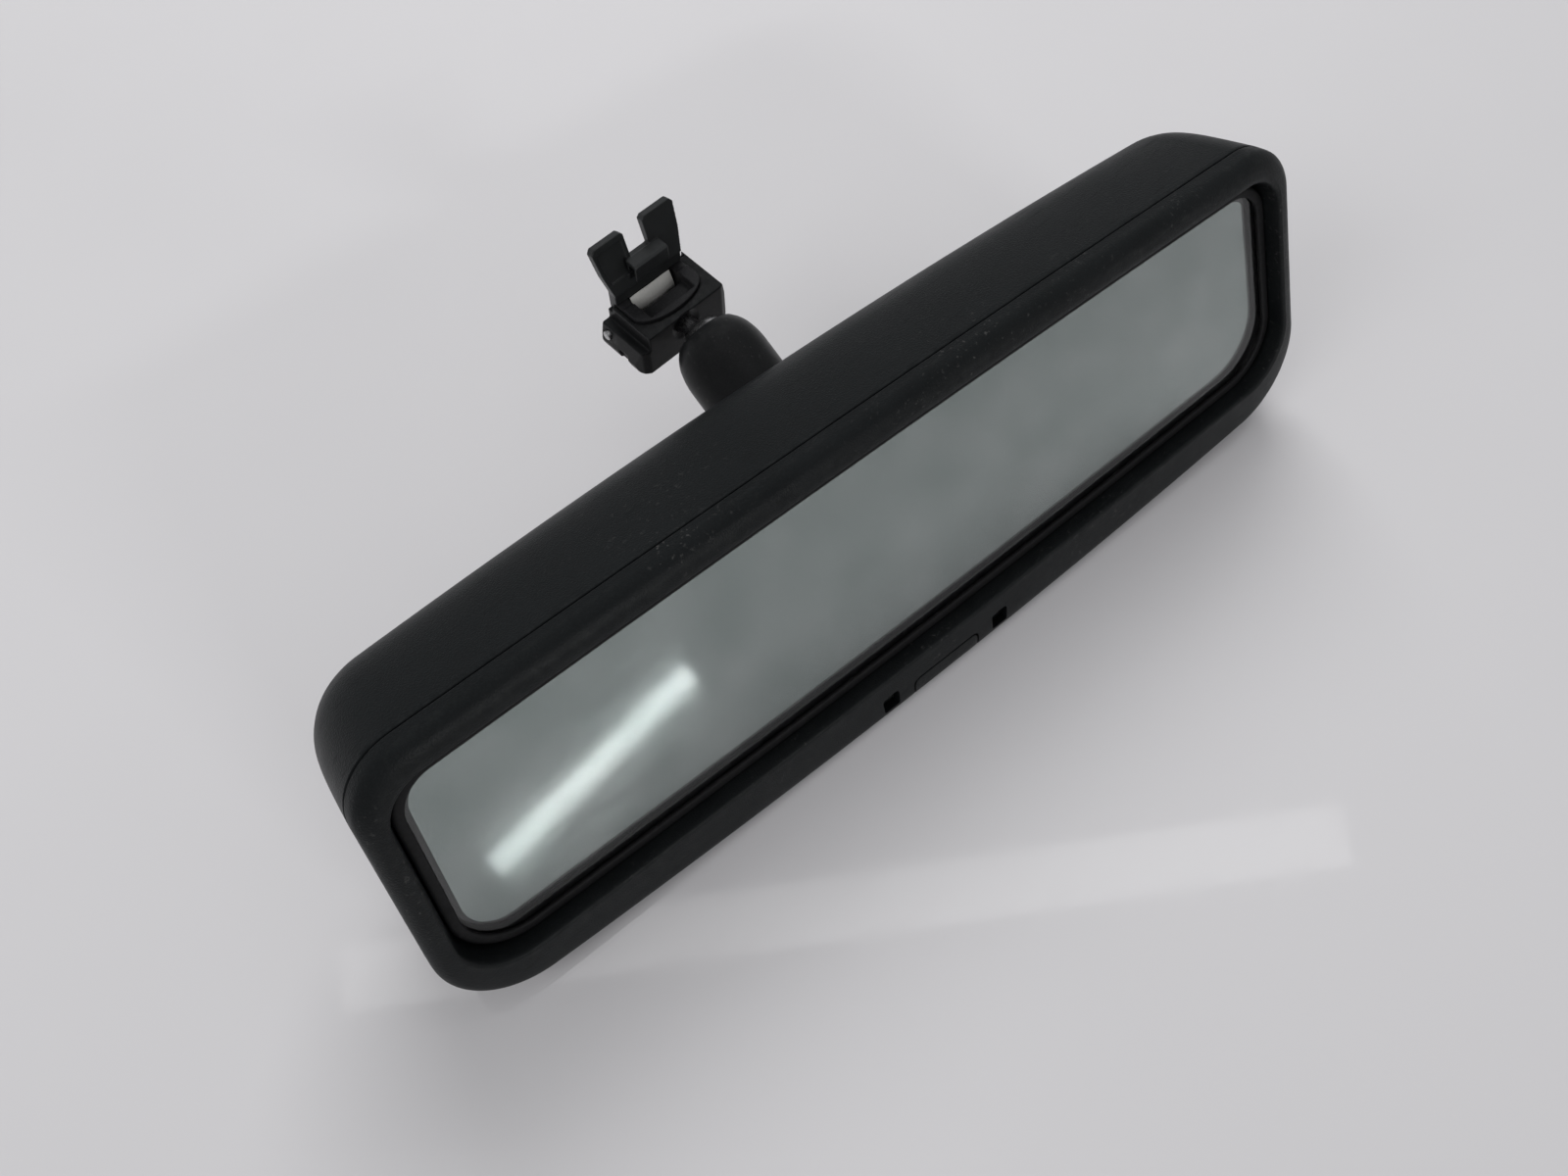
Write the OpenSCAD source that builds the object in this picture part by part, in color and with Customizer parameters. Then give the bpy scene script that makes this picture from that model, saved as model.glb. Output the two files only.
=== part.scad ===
// Interior rearview mirror with a double ball arm and a windscreen foot.
// The row frame sits on the foot: origin in the mouth of its pocket, +Z out of the pocket.

/* [Head] */
// half width of the visible glass at mid height
glass_hw = 116; // [90:1:135]
// half height of the visible glass
glass_hh = 26; // [20:0.5:34]
// how much narrower each side gets per mm of height
side_lean = 0.136; // [0:0.002:0.2]
// half width of the head at mid height
head_hw = 124.8; // [100:0.2:145]
// height of the head's top edge above the glass centre
head_top = 37.3; // [30:0.1:46]
// depth of the chin's lowest point below the glass centre
head_chin = 44.5; // [34:0.1:52]
// depth of the back shell behind the glass face
head_depth = 41; // [30:0.5:60]
// how much shallower the back is towards the ends
back_crown = 0.00001; // [0:0.000001:0.00003]
// angle the head leans back
head_tilt = 21.4; // [0:0.1:40]

/* [Controls] */
// sideways place of the button group on the chin
ctrl_x = 2.5; // [-20:0.5:20]
// width of the button tab
tab_w = 19.8; // [12:0.2:30]
// gap of the slit round the tab
tab_gap = 0.5; // [0.2:0.05:1]
// distance from the tab to each window
window_dx = 17.3; // [12:0.1:30]
// width of each window
window_w = 5; // [2:0.1:6]
// travel of the button
press_travel = 0.8; // [0.3:0.1:1.2]

/* [Arm] */
// distance between the two ball centres
arm_len = 34.5; // [25:0.25:70]
// angle the arm rises towards the foot
stem_rise = 19.5; // [0:0.5:45]
// angle the arm is swung to one side
stem_yaw = 5.5; // [-20:0.5:20]
// outer radius of the tube
tube_r = 10.75; // [8:0.05:14]
// radius of the balls
ball_r = 7.2; // [5:0.1:9]
// radius of the ball necks
neck_r = 2.5; // [1.5:0.1:4]
// half angle of the mouth at each end of the tube
mouth_a = 57; // [40:1:65]

/* [Foot] */
// half width of the foot at its bottom
foot_hw = 14.4; // [10:0.1:20]
// half width of the foot at its top
foot_top_hw = 12.4; // [8:0.1:18]
// height of the foot body
foot_h = 12; // [8:0.5:20]
// half width of the plastic insert
boat_hw = 10; // [7:0.1:14]
// width of the leaf spring
leaf_w = 12.3; // [8:0.1:16]
// width of each latch ear
ear_w = 9.15; // [5:0.05:12]

/* [Hidden] */
$fn = 64;
run = 0.05;
ball_foot = [0, -19, -4.6];
head_ball = [0, 34, 2.5];
stud_rise = 20.5;
foot_stud_dip = 2;
seat_r = ball_r + run;
bore_r = tube_r - 1.05;
cup_r = bore_r - 0.25;
wall = 1.9;

// ---------- placing ----------
module on_stem() translate(ball_foot) rotate([0, 0, -stem_yaw]) rotate([stem_rise - 90, 0, 0])
  children();
module on_head() translate(ball_foot) rotate([0, 0, -stem_yaw])
  translate([0, -arm_len * cos(stem_rise), -arm_len * sin(stem_rise)])
  rotate([-head_tilt, 0, 0]) translate(-head_ball) children();
// along the head stud, origin in the ball centre, +Z towards the bracket
module on_stud() on_head() translate(head_ball) rotate([90 + stud_rise, 0, 0]) children();
// along the foot stud, origin in the ball centre, +Z towards the foot
module on_foot_stud() translate(ball_foot) rotate([-90 - foot_stud_dip, 0, 0]) children();
// a flat profile in the head's XZ plane, thickened along Y from y0 to y1
module slab(y0, y1) translate([0, y1, 0]) rotate([90, 0, 0]) linear_extrude(y1 - y0) children();
module box(lo, hi) translate(lo) cube(hi - lo);

// ---------- head outline ----------
// row: [y, half width, top, bottom, top corner r, bottom corner r, top bow, bottom bow]
nc = 9;
ne = 6;
function top_r(o) = let(rt = o[4], b = atan(2 * o[6] / (o[1] - rt)), an = atan(side_lean),
    zc = o[2] - o[6] - rt * cos(b),
    xc = o[1] - side_lean * (zc + rt * sin(an)) - rt * cos(an))
  [xc, zc, b, an];
function low_r(o) = let(rb = o[5], b = atan(2 * o[7] / (o[1] - rb)), an = atan(side_lean),
    zc = o[3] + o[7] + rb * cos(b),
    xc = o[1] - side_lean * (zc + rb * sin(an)) - rb * cos(an))
  [xc, zc, b, an];
function half_line(o) = let(t = top_r(o), l = low_r(o),
    xt = t[0] + o[4] * sin(t[2]), xb = l[0] + o[5] * sin(l[2]))
  concat(
    [for (i = [1:ne - 1]) let(u = i / ne) [xt * u, o[2] - o[6] * u * u]],
    [for (i = [0:nc]) let(a = 90 - t[2] + (t[3] - 90 + t[2]) * i / nc)
      [t[0] + o[4] * cos(a), t[1] + o[4] * sin(a)]],
    [for (i = [0:nc]) let(a = l[3] + (l[2] - 90 - l[3]) * i / nc)
      [l[0] + o[5] * cos(a), l[1] + o[5] * sin(a)]],
    [for (i = [1:ne - 1]) let(u = 1 - i / ne) [xb * u, o[3] + o[7] * u * u]]);
function outline(o) = let(h = half_line(o), n = len(h))
  concat([[0, o[2]]], h, [[0, o[3]]], [for (i = [n - 1:-1:0]) [-h[i][0], h[i][1]]]);
function crown(y, x) = y <= 1.8 ? y : 1.8 + (y - 1.8) * (1 - back_crown * x * x);
function level(o) = [for (p = outline(o)) [p[0], crown(o[0], p[0]), p[1]]];
module face(o) polygon(outline(o));
// skin through the levels, closed by a fan at the first and the last one
function middle(r) = let(n = len(r)) [0, r[0][1], (r[0][2] + r[n / 2][2]) / 2];
module loft(rows) {
  rings = [for (o = rows) level(o)];
  n = len(rings[0]);
  k = len(rings);
  polyhedron(points = concat([for (r = rings) each r], [middle(rings[0]), middle(rings[k - 1])]),
    faces = concat([for (i = [0:n - 1]) [i, (i + 1) % n, k * n]],
      [for (j = [0:k - 2], i = [0:n - 1]) let(i2 = (i + 1) % n)
        each [[j * n + i2, j * n + i, (j + 1) * n + i2], [(j + 1) * n + i2, j * n + i, (j + 1) * n + i]]],
      [for (i = [0:n - 1]) [(k - 1) * n + (i + 1) % n, (k - 1) * n + i, k * n + 1]]));
}
// skin through the levels and back to the first one, so a closed frame
module hoop(rows) {
  rings = [for (o = rows) level(o)];
  n = len(rings[0]);
  k = len(rings);
  polyhedron(points = [for (r = rings) each r],
    faces = [for (j = [0:k - 1], i = [0:n - 1]) let(i2 = (i + 1) % n, m = ((j + 1) % k) * n)
        each [[j * n + i, j * n + i2, m + i2], [j * n + i, m + i2, m + i]]]);
}
function grow(o, d) = [o[0], o[1] + d, o[2] + d, o[3] - d, o[4] + d, o[5] + d, o[6], o[7]];

// ---------- head levels ----------
glass_o = [0, glass_hw, glass_hh + 0.9, -glass_hh - 2, 9, 12, 0.9, 2];
shell_out = [
  [1.8, head_hw, head_top, -head_chin + 1.0, 15, 20, 0.9, 3.8],
  [10, head_hw - 0.2, head_top - 0.1, -head_chin + 4.4, 15.3, 19, 0.9, 3.2],
  [18, head_hw - 0.55, head_top - 0.4, -head_chin + 7.7, 15.3, 18, 0.9, 2.7],
  [24, head_hw - 1.15, head_top - 1.0, -head_chin + 10.4, 15.3, 17, 0.9, 2.3],
  [28, head_hw - 2.1, head_top - 2.1, -head_chin + 12.5, 15, 16, 0.8, 2],
  [31, head_hw - 3.2, head_top - 3.6, -head_chin + 14.4, 14.5, 15, 0.7, 1.7],
  [33.5, head_hw - 5.2, head_top - 5.6, -head_chin + 16.5, 13.7, 14, 0.6, 1.4],
  [36, head_hw - 8.7, head_top - 9.1, -head_chin + 19.3, 12.7, 13, 0.5, 1.1],
  [38.2, head_hw - 13, head_top - 13.2, -head_chin + 22.9, 11.5, 12, 0.4, 0.8],
  [head_depth - 1.2, head_hw - 18.5, head_top - 18, -head_chin + 27.4, 9.5, 10, 0.3, 0.5],
  [head_depth - 0.2, head_hw - 26, head_top - 24.5, -head_chin + 33.4, 7.5, 8, 0.2, 0.3],
  [head_depth + 0.2, head_hw - 36, head_top - 31, -head_chin + 40, 4, 4, 0.1, 0.1]];
shell_in = concat([[0.8, head_hw - wall, head_top - wall, -head_chin + 1.0 + wall, 13.1, 18.1, 0.9, 3.8]],
  [for (i = [0:10]) let(g = grow(shell_out[i], -wall)) concat([i == 0 ? g[0] : g[0] - 1.4 * i / 10],
    [for (j = [1:7]) g[j]])]);

module rear_housing() color([0.09, 0.09, 0.1]) on_head() {
  difference() {
    union() {
      difference() {
        loft(shell_out);
        loft(shell_in);
      }
      for (x = [-21, 21], b = [[-13, 39], [8, 40]])
        translate([x, 15.9, b[0]]) rotate([-90, 0, 0]) cylinder(r = 3.6, h = b[1] - 15.9, $fn = 32);
    }
    // opening for the arm
    slab(30, 44) polygon(concat([for (a = [0:10:180]) [15 * cos(a), 12.5 + 15 * sin(a)]],
      [for (a = [180:10:360]) [15 * cos(a), 1.5 + 15 * sin(a)]]));
    for (x = [-21, 21], z = [-13, 8])
      translate([x, 15, z]) rotate([-90, 0, 0]) cylinder(r = 1.25, h = 14, $fn = 24);
    box([-46.1, 30, -0.1], [-29.9, 44, 9.1]);
    translate([34, 30, 10]) rotate([-90, 0, 0]) cylinder(r = 3.55, h = 14, $fn = 32);
  }
}

// profile levels of the bezel, from the outer rear edge round the front to the inside
bezel_rows = [
  [1.5, head_hw, head_top, -head_chin + 0.9, 15, 20, 0.9, 3.8],
  [-1.2, head_hw - 0.1, head_top - 0.1, -head_chin, 15, 20, 0.9, 4.1],
  [-2.5, head_hw - 0.6, head_top - 0.5, -head_chin + 0.2, 14.8, 19.6, 0.9, 4.1],
  [-3.5, head_hw - 1.6, head_top - 1.4, -head_chin + 2.1, 14.2, 18.6, 0.9, 3.6],
  [-4.1, head_hw - 2.8, head_top - 2.5, -head_chin + 6.7, 13.4, 16.6, 0.9, 2.8],
  [-4.4, head_hw - 4.2, head_top - 3.8, -head_chin + 11, 12.2, 14.6, 0.9, 2.2],
  [-4.4, head_hw - 4.9, head_top - 5.6, -head_chin + 12.7, 11.4, 13.6, 0.9, 2],
  [-3.6, head_hw - 5.5, head_top - 6.6, -head_chin + 13.3, 11, 13.2, 0.9, 2],
  [-0.4, head_hw - 5.9, head_top - 7.1, -head_chin + 13.6, 10.6, 13, 0.9, 2],
  [5.0, head_hw - 5.9, head_top - 7.1, -head_chin + 13.6, 10.6, 13, 0.9, 2],
  [5.0, head_hw - 4.5, head_top - 5.7, -head_chin + 12.2, 12, 14.4, 0.9, 2],
  [-1.5, head_hw - 4.4, head_top - 5.4, -head_chin + 11.8, 12.2, 14.8, 0.9, 2],
  [-1.5, head_hw - 2.2, head_top - 2.6, -head_chin + 2.6, 13, 17.6, 0.9, 3.8],
  [1.5, head_hw - 1.95, head_top - 2.0, -head_chin + 2.9, 13.1, 18.1, 0.9, 3.8]];

module window_hole(x) translate([x, 0, 0]) slab(-8, -1) hull()
  for (dx = [-1, 1]) {
    translate([dx * (window_w / 2 - 1), -head_chin + 6.6]) circle(r = 1);
    translate([dx * (window_w / 2 - 0.7), -head_chin + 3.0]) circle(r = 0.7);
  }

module bezel() color([0.11, 0.11, 0.12]) on_head() difference() {
  hoop(bezel_rows);
  translate([ctrl_x, 0, 0]) slab(-8, 2) hull() {
    for (dx = [-1, 1]) {
      translate([dx * (tab_w / 2 + tab_gap - 1.6), -head_chin + 6.2 - 1.6]) circle(r = 1.6);
      translate([dx * (tab_w / 2 + tab_gap - 1), -head_chin - 3]) circle(r = 1);
    }
  }
  window_hole(ctrl_x - window_dx);
  window_hole(ctrl_x + window_dx);
}

// ---------- mirror cell ----------
cell_o = grow(glass_o, 1.3);
module front_glass() color([0.72, 0.78, 0.75]) on_head() slab(0, 2) face(cell_o);
module cell_seal() color([0.2, 0.2, 0.2]) on_head() slab(2.02, 2.28) difference() {
  face(grow(cell_o, -0.2));
  face(grow(cell_o, -2.6));
}
module rear_glass() color([0.8, 0.83, 0.83]) on_head() slab(2.3, 4.3) face(cell_o);
module glass_gasket() color([0.05, 0.05, 0.05]) on_head() hoop([for (p = [
    [-0.45, 0.0], [-0.05, 0.05], [-0.05, 1.36], [4.45, 1.36], [4.45, 2.5], [-0.5, 2.5], [-0.9, 1.9], [-0.9, 0.35]])
  let(g = grow(glass_o, p[1])) [p[0], g[1], g[2], g[3], g[4], g[5], g[6], g[7]]]);
module glass_carrier() color([0.16, 0.16, 0.17]) on_head() {
  slab(4.5, 6.1) face(grow(glass_o, 2.3));
  difference() {
    slab(6.05, 8.1) face(grow(glass_o, 1.2));
    slab(6, 9) face(grow(glass_o, -0.4));
  }
  for (x = [-75, -31], z = [-15, 17]) translate([x, 6.05, z]) rotate([-90, 0, 0]) difference() {
    cylinder(r = 2.6, h = 4.9);
    translate([0, 0, 1]) cylinder(r = 0.9, h = 5);
  }
  for (x = [-95, 52, 82, 105]) box([x, 6.05, -24], [x + 1.4, 8, 25]);
}

// ---------- electronics ----------
module circuit_board() color([0.08, 0.3, 0.14]) on_head() difference() {
  union() {
    box([-79, 11, -19], [-27, 12.6, 21]);
    box([-70, 12.55, -12], [-60, 14.1, -2]);
    box([-52, 12.55, -15], [-47, 15, -10]);
    box([-68, 12.55, 8], [-62, 13.6, 12]);
    translate([-53, 12.55, 12]) rotate([-90, 0, 0]) cylinder(r = 3.2, h = 6.5);
  }
  for (x = [-75, -31], z = [-15, 17]) translate([x, 10, z]) rotate([-90, 0, 0]) cylinder(r = 1.1, h = 4);
}
module connector_socket() color([0.13, 0.13, 0.13]) on_head() {
  difference() {
    box([-45.5, 12.65, 0.5], [-30.5, 42, 8.5]);
    box([-44.2, 31, 1.8], [-31.8, 43, 7.2]);
  }
  for (i = [0:4]) box([-43 + i * 2.4, 30.9, 4.1], [-42.3 + i * 2.4, 38, 4.8]);
}
module ambient_sensor() color([0.1, 0.1, 0.1]) on_head() translate([34, 0, 10]) rotate([-90, 0, 0])
  rotate_extrude() polygon(concat([[0, 33.5], [4.6, 33.5], [4.6, 34.7], [3.5, 34.7], [3.5, 40.4]],
    [for (a = [0:15:90]) [3.1 * cos(a), 40.4 + 1.1 * sin(a)]]));
board_x0 = ctrl_x - 26;
module control_board() color([0.08, 0.3, 0.14]) on_head()
  box([board_x0, 2.7, -38.8], [board_x0 + 52, 4.2, -33.2]);
module tact_switch() color([0.75, 0.76, 0.78]) on_head() difference() {
  box([ctrl_x - 2.6, -0.1 + 0.6, -38.6], [ctrl_x + 2.6, 2.68, -33.6]);
  translate([ctrl_x, 0, -36.1]) rotate([-90, 0, 0]) cylinder(r = 1.25, h = 2.2);
}
module switch_plunger() color([0.08, 0.08, 0.08]) on_head()
  translate([ctrl_x, -0.38, -36.1]) rotate([-90, 0, 0]) cylinder(r = 1.2, h = 1.6);
module dimming_button() color([0.12, 0.12, 0.13]) on_head() {
  translate([ctrl_x - tab_w / 2, 0, 0]) rotate([90, 0, 90]) linear_extrude(tab_w) polygon([
    [0.6, -head_chin + 1.1], [-1.2, -head_chin + 0.1], [-2.5, -head_chin + 0.3], [-3.5, -head_chin + 2.1],
    [-3.9, -head_chin + 5.3], [-3.6, -head_chin + 5.7], [-1.4, -head_chin + 5.7], [-1.4, -head_chin + 2.6],
    [0.6, -head_chin + 2.9]]);
  box([ctrl_x - 3, -1.4, -head_chin + 4], [ctrl_x + 3, -0.4, -34.6]);
}
module light_rod(x, len_y) on_head() {
  translate([x, 0, 0]) slab(-2.6, -1) hull() for (dx = [-1, 1]) {
    translate([dx * (window_w / 2 - 1.1), -head_chin + 6.5]) circle(r = 0.8);
    translate([dx * (window_w / 2 - 0.8), -head_chin + 4.4]) circle(r = 0.5);
  }
  box([x - 1.5, -1.4, -38.6], [x + 1.5, len_y, -36.2]);
  box([x - 1.6, -1.4, -head_chin + 3.4], [x + 1.6, -0.4, -37.4]);
}
module status_light() color([0.3, 0.75, 0.45]) light_rod(ctrl_x - window_dx, 2.65);
module glare_sensor() color([0.12, 0.1, 0.14]) light_rod(ctrl_x + window_dx, 2.65);

// ---------- ball bracket ----------
module ball_bracket() color([0.62, 0.63, 0.65]) difference() {
  union() {
    on_head() {
      box([-26, 13.4, -18], [26, 15.8, 13.6]);
      box([-26, 13.4, 11.9], [26, 19, 13.6]);
    }
    on_stud() translate([0, 0, 15.2]) cylinder(r = 8.5, h = 7.2);
  }
  on_stud() translate([0, 0, 10]) cylinder(r = 4.05, h = 20);
  on_stud() translate([0, 0, 21.2]) cylinder(r = 12, h = 14);
  on_head() for (x = [-21, 21], z = [-13, 8])
    translate([x, 10, z]) rotate([-90, 0, 0]) cylinder(r = 1.7, h = 8);
}
module bracket_screw(x, z) on_head() translate([x, 0, z]) rotate([-90, 0, 0]) difference() {
  union() {
    translate([0, 0, 11.3]) cylinder(r1 = 2.6, r2 = 3.2, h = 2.05);
    translate([0, 0, 13.3]) cylinder(r = 1.2, h = 13);
  }
  for (a = [0, 90]) rotate([0, 0, a]) translate([-0.4, -1.7, 10]) cube([0.8, 3.4, 2.4]);
}
module bracket_screw_1() color([0.7, 0.7, 0.72]) bracket_screw(-21, -13);
module bracket_screw_2() color([0.7, 0.7, 0.72]) bracket_screw(21, -13);
module bracket_screw_3() color([0.7, 0.7, 0.72]) bracket_screw(-21, 8);
module bracket_screw_4() color([0.7, 0.7, 0.72]) bracket_screw(21, 8);
module ball_profile(z_end) rotate_extrude() polygon(concat(
  [for (a = [-90:6:66]) [ball_r * cos(a), ball_r * sin(a)]],
  [[neck_r, ball_r * sin(66) + 0.4]], z_end));
module head_ball_stud() color([0.55, 0.56, 0.58]) on_stud() ball_profile(
  [[neck_r, 12.4], [6, 13], [6, 15.1], [4, 15.15], [4, 26], [0, 26]]);
module stud_nut() color([0.72, 0.72, 0.74]) on_stud() difference() {
  translate([0, 0, 21.3]) union() {
    cylinder(r = 7, h = 0.9);
    translate([0, 0, 0.9]) cylinder(r = 5.8, h = 3.2, $fn = 6);
  }
  translate([0, 0, 20]) cylinder(r = 4.02, h = 8);
}

// ---------- arm ----------
module cup(dir) rotate_extrude() polygon(concat(
  [for (a = [114:6:180]) [(ball_r + run) * sin(a), (ball_r + run) * cos(a) * dir]],
  [for (a = [180:-6:114]) [cup_r * sin(a), cup_r * cos(a) * dir]]));
module cup_foot() color([0.85, 0.85, 0.82]) on_stem() cup(1);
module cup_head() color([0.85, 0.85, 0.82]) on_stem() translate([0, 0, -arm_len]) cup(-1);
function lip(dir, z0) = [for (i = [0:6]) let(a = dir > 0 ? 90 - (90 - mouth_a) * i / 6 : mouth_a + (90 - mouth_a) * i / 6)
  [seat_r * sin(a), z0 + dir * seat_r * cos(a)]];
lip_z = seat_r * cos(mouth_a);
module stem_tube() color([0.14, 0.14, 0.15]) on_stem() rotate_extrude() polygon(concat(
  [[bore_r, 0]], lip(1, 0),
  [[7.1, lip_z + 0.25], [8.2, 3.0], [9.3, 1.4], [10.1, -0.6], [10.55, -2.8], [tube_r, -5.2],
    [tube_r, -arm_len + 5.2], [10.55, -arm_len + 2.8], [10.1, -arm_len + 0.6], [9.3, -arm_len - 1.4],
    [8.2, -arm_len - 3.0], [7.1, -arm_len - lip_z - 0.25]],
  lip(-1, -arm_len), [[bore_r, -arm_len]]));
coil_r = 5;
wire_r = 0.8;
coil_end = sqrt(pow(cup_r + wire_r + 0.05, 2) - coil_r * coil_r);
module stem_spring() color([0.7, 0.7, 0.72]) on_stem() {
  turns = 6;
  seg = 16;
  m = 8;
  z0 = -coil_end;
  z1 = -arm_len + coil_end;
  n = turns * seg;
  pts = [for (i = [0:n], j = [0:m - 1]) let(a = 360 * i / seg, b = 360 * j / m, rr = coil_r + wire_r * cos(b))
    [rr * cos(a), rr * sin(a), z0 + (z1 - z0) * i / n + wire_r * sin(b)]];
  polyhedron(points = pts, faces = concat([[for (j = [0:m - 1]) j]],
    [for (i = [0:n - 1], j = [0:m - 1]) let(j2 = (j + 1) % m)
      [i * m + j, (i + 1) * m + j, (i + 1) * m + j2, i * m + j2]],
    [[for (j = [m - 1:-1:0]) n * m + j]]));
}

// ---------- foot ----------
module foot_ball_stud() color([0.6, 0.61, 0.63]) on_foot_stud() ball_profile(
  [[neck_r, 13.6], [2.2, 14], [2.2, 18.7], [0, 18.7]]);
module boat_plan(d) polygon(concat([[boat_hw + d, 5 + d], [-boat_hw - d, 5 + d]],
  [for (i = [0:16]) let(a = 180 + 180 * i / 16)
    [(boat_hw + d) * cos(a), -1.5 - (5.5 + d) * pow(-sin(a), 0.8)]]));
module foot_body() color([0.1, 0.1, 0.11]) difference() {
  intersection() {
    translate([0, 6, 0]) rotate([90, 0, 0]) linear_extrude(15) polygon([
      [-foot_hw, -foot_h + 1.6], [-foot_hw + 0.6, -foot_h - 0.4], [-foot_hw + 2.4, -foot_h - 1],
      [foot_hw - 2.4, -foot_h - 1], [foot_hw - 0.6, -foot_h - 0.4], [foot_hw, -foot_h + 1.6],
      [foot_top_hw, -0.9], [-foot_top_hw, -0.9]]);
    translate([0, 0, -foot_h - 2]) linear_extrude(foot_h + 4) polygon([
      [-foot_hw, 6], [-foot_hw, -6], [-foot_hw + 1.2, -8.2], [-foot_hw + 3, -9], [foot_hw - 3, -9],
      [foot_hw - 1.2, -8.2], [foot_hw, -6], [foot_hw, 6]]);
  }
  translate([0, 0, -6.3]) linear_extrude(8) boat_plan(0.05);
  // room for the swinging end of the arm
  translate(ball_foot) sphere(r = 10.9);
  // lower shoulder on the left side
  box([-20, -10, -5.2], [-boat_hw - 1.1, 7, 2]);
  // seat of the latch plate
  box([-12.2, 4.2, -2.4], [12.2, 7, 2]);
  on_foot_stud() {
    cylinder(r = neck_r, h = 13.8);
    translate([0, 0, 12]) cylinder(r = 2.2, h = 6.7);
  }
  // deep slot for the spring and the windscreen tab
  box([-6.8, -0.5, -8.2], [6.8, 4.1, 2]);
  translate([-20, 3.5, -7.5]) rotate([0, 90, 0]) cylinder(r = 1.2, h = 32);
  translate([0, 1.8, -14]) cylinder(r = 1.4, h = 7);
  translate([-foot_hw - 1, -3.4, -foot_h - 2]) cube([2.2, 3, 4.6]);
}
module foot_insert() color([0.03, 0.03, 0.03]) difference() {
  translate([0, 0, -6.2]) linear_extrude(6.2) boat_plan(0);
  box([-6.8, -5, -2], [6.8, -0.4, 1]);
  box([-6.8, -0.5, -7], [6.8, 4.1, 1]);
  box([-11, 4.2, -2.4], [11, 7, 2]);
  box([-11, 1.1, -0.4], [11, 7, 2]);
  translate(ball_foot) sphere(r = ball_r + 0.3);
  on_foot_stud() cylinder(r = neck_r + 0.25, h = 20);
}
module ear(s) translate([0, 5.1, 2.5]) rotate([-17, 0, 0]) translate([0, 0, -2]) rotate([90, 0, 0])
  linear_extrude(2.1) polygon([[s * 2.85, 1.6], [s * 10.2, 1.6], [s * 11.5, 8], [s * 12.1, 14.4], [s * 11.3, 15.4],
    [s * 3.6, 15.4], [s * 2.85, 14.7]]);
module latch_plate() color([0.5, 0.5, 0.52]) {
  ear(1);
  ear(-1);
  rotate([90, 0, 90]) translate([0, 0, -3]) linear_extrude(6)
    polygon([[4.2, 1.6], [5.1, 1.6], [6.6, 8.2], [5.4, 8.9], [4.2, 8.9]]);
  box([-10.2, 3.4, -0.38], [10.2, 6, 3.1]);
  box([-10.2, 4.3, -2.38], [10.2, 6, 0]);
  // centre tab bent forward
  rotate([90, 0, 90]) translate([0, 0, -5]) linear_extrude(10)
    polygon([[4.9, 2.4], [4.9, 9.6], [4.4, 10.3], [1.5, 10.3], [0.9, 9.8], [0.9, 5.6], [1.7, 5.5], [1.8, 9.2],
      [3.3, 9.1], [3.6, 8.6], [3.6, 2.4]]);
}
module leaf_spring() color([0.75, 0.75, 0.77]) rotate([90, 0, 90]) translate([0, 0, -leaf_w / 2])
  linear_extrude(leaf_w) polygon([[3.0, -0.25], [1.4, -4], [1.3, -4.8], [1.6, -5.7], [2.1, -6], [2.25, -5.7],
    [1.9, -5.4], [1.65, -4.8], [1.75, -4.1], [3.3, -0.4]]);
module spring_pin() color([0.85, 0.85, 0.85]) translate([-foot_hw - 0.2, 3.5, -7.5]) rotate([0, 90, 0])
  cylinder(r = 1.15, h = 2 * foot_hw - 3);
module insert_screw() color([0.7, 0.7, 0.72]) translate([0, 1.8, -13.6]) {
  cylinder(r = 1.35, h = 5);
  difference() {
    translate([0, 0, -0.4]) cylinder(r1 = 2.4, r2 = 2.6, h = 0.9);
    translate([-0.35, -1.6, -1]) cube([0.7, 3.2, 1]);
  }
}

rear_housing();
bezel();
front_glass();
cell_seal();
rear_glass();
glass_gasket();
glass_carrier();
circuit_board();
connector_socket();
ambient_sensor();
control_board();
tact_switch();
switch_plunger();
dimming_button();
status_light();
glare_sensor();
ball_bracket();
bracket_screw_1();
bracket_screw_2();
bracket_screw_3();
bracket_screw_4();
head_ball_stud();
stud_nut();
cup_head();
stem_tube();
stem_spring();
cup_foot();
foot_ball_stud();
foot_body();
foot_insert();
latch_plate();
leaf_spring();
spring_pin();
insert_screw();
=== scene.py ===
import bpy, bmesh, math
from mathutils import Vector, Matrix, noise


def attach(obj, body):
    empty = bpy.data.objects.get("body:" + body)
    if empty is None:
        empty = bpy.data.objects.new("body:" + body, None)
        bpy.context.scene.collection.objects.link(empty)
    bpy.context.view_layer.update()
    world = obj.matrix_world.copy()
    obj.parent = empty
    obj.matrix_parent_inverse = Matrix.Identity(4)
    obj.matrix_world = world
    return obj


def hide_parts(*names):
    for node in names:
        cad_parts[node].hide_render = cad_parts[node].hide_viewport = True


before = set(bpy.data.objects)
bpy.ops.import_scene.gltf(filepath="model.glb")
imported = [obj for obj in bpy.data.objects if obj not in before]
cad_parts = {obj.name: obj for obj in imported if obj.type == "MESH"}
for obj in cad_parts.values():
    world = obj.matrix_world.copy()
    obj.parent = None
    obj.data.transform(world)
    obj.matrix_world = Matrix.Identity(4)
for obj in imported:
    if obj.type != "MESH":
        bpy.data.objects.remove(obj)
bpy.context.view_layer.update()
MM = 0.001
scene = bpy.context.scene

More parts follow.
